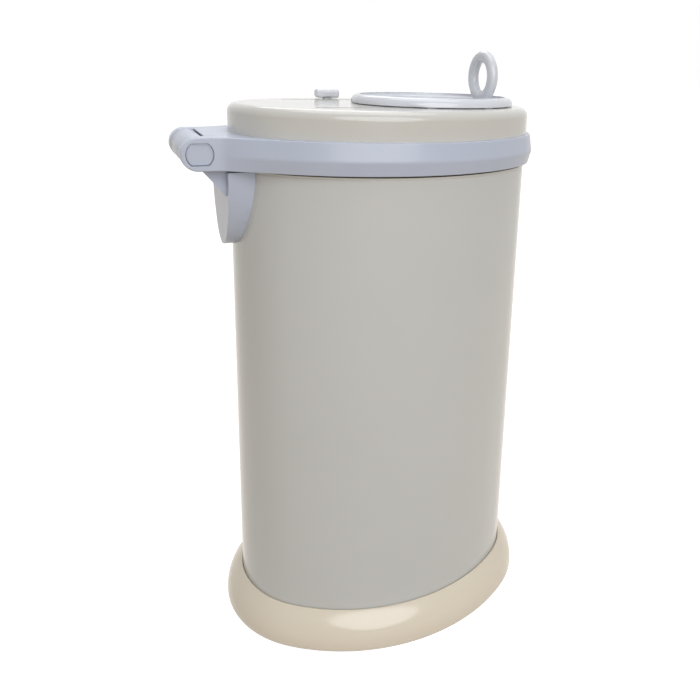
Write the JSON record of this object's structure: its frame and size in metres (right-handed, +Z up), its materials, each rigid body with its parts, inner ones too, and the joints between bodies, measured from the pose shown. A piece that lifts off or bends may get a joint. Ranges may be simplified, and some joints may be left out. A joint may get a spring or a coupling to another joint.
{
  "type": "nappy bin",
  "caption": "Tall oval steel nappy bin with flared base, hinged lid, sliding door with ring handle and child lock.",
  "frame": {"origin": "bottom centre of the whole bin's bounding box, on the floor", "axes": "+Z up along the body, +X towards the end with the door's ring handle, -X the hinge, Y across the oval's short way"},
  "size_m": [0.2856, 0.1972, 0.4584],
  "materials": {
    "coated_steel": "glossy warm ivory powder coat on sheet steel",
    "cream_gloss": "glossy cream moulded plastic",
    "blue_white_gloss": "glossy cool blue-white moulded plastic",
    "white_gloss": "glossy cool white moulded plastic",
    "white_matte": "matte white bearing plastic",
    "dark_rubber": "matte dark rubber",
    "zinc_steel": "bright zinc-plated steel"
  },
  "bodies": {
    "bin": {"body_shell": "coated_steel", "base_skirt": "cream_gloss", "base_floor": "cream_gloss", "base_screws": "zinc_steel", "foot_pads": "dark_rubber", "top_collar": "cream_gloss", "collar_seal": "dark_rubber", "hinge_bracket": "blue_white_gloss", "bracket_plate": "zinc_steel", "bracket_screws": "zinc_steel", "hinge_pin": "zinc_steel"},
    "bag_ring": {"bag_ring": "white_gloss"},
    "lid": {"lid_band": "blue_white_gloss", "lid_shell": "cream_gloss", "lid_liner": "white_gloss", "lid_screws": "zinc_steel", "door_seal": "dark_rubber", "door_rails": "white_matte", "rail_screws": "zinc_steel", "lock_guide": "white_matte", "guide_screws": "zinc_steel", "hinge_bush_near": "white_matte", "hinge_bush_far": "white_matte", "button_spring_near": "zinc_steel", "button_spring_far": "zinc_steel"},
    "button_near": {"hinge_button_near": "blue_white_gloss"},
    "button_far": {"hinge_button_far": "blue_white_gloss"},
    "door": {"sliding_door": "white_gloss", "ring_handle": "white_gloss", "handle_screws": "zinc_steel", "door_carriage": "white_matte", "carriage_screws": "zinc_steel"},
    "lock": {"lock_knob": "white_gloss", "lock_bolt": "zinc_steel", "lock_screw": "zinc_steel"}
  },
  "joints": [
    {"name": "lid_hinge", "type": "hinge", "parent": "bin", "child": "lid", "pos_m": [-0.13165, 0, 0.3846], "axis": [0, -1, 0], "range_deg": [0, 100]},
    {"name": "door_slide", "type": "slide", "parent": "lid", "child": "door", "axis": [-1, 0, 0], "range_m": [0, 0.082]},
    {"name": "lock_slide", "type": "slide", "parent": "lid", "child": "lock", "axis": [0, -1, 0], "range_m": [0, 0.005]},
    {"name": "button_near_press", "type": "slide", "parent": "lid", "child": "button_near", "axis": [0, 1, 0], "range_m": [0, 0.003], "stiffness_N_per_m": 400, "deforming": ["button_spring_near"]},
    {"name": "button_far_press", "type": "slide", "parent": "lid", "child": "button_far", "axis": [0, -1, 0], "range_m": [0, 0.003], "stiffness_N_per_m": 400, "deforming": ["button_spring_far"]},
    {"name": "bag_ring_lift", "type": "slide", "parent": "bin", "child": "bag_ring", "axis": [0, 0, 1], "range_m": [0, 0.008]}
  ]
}
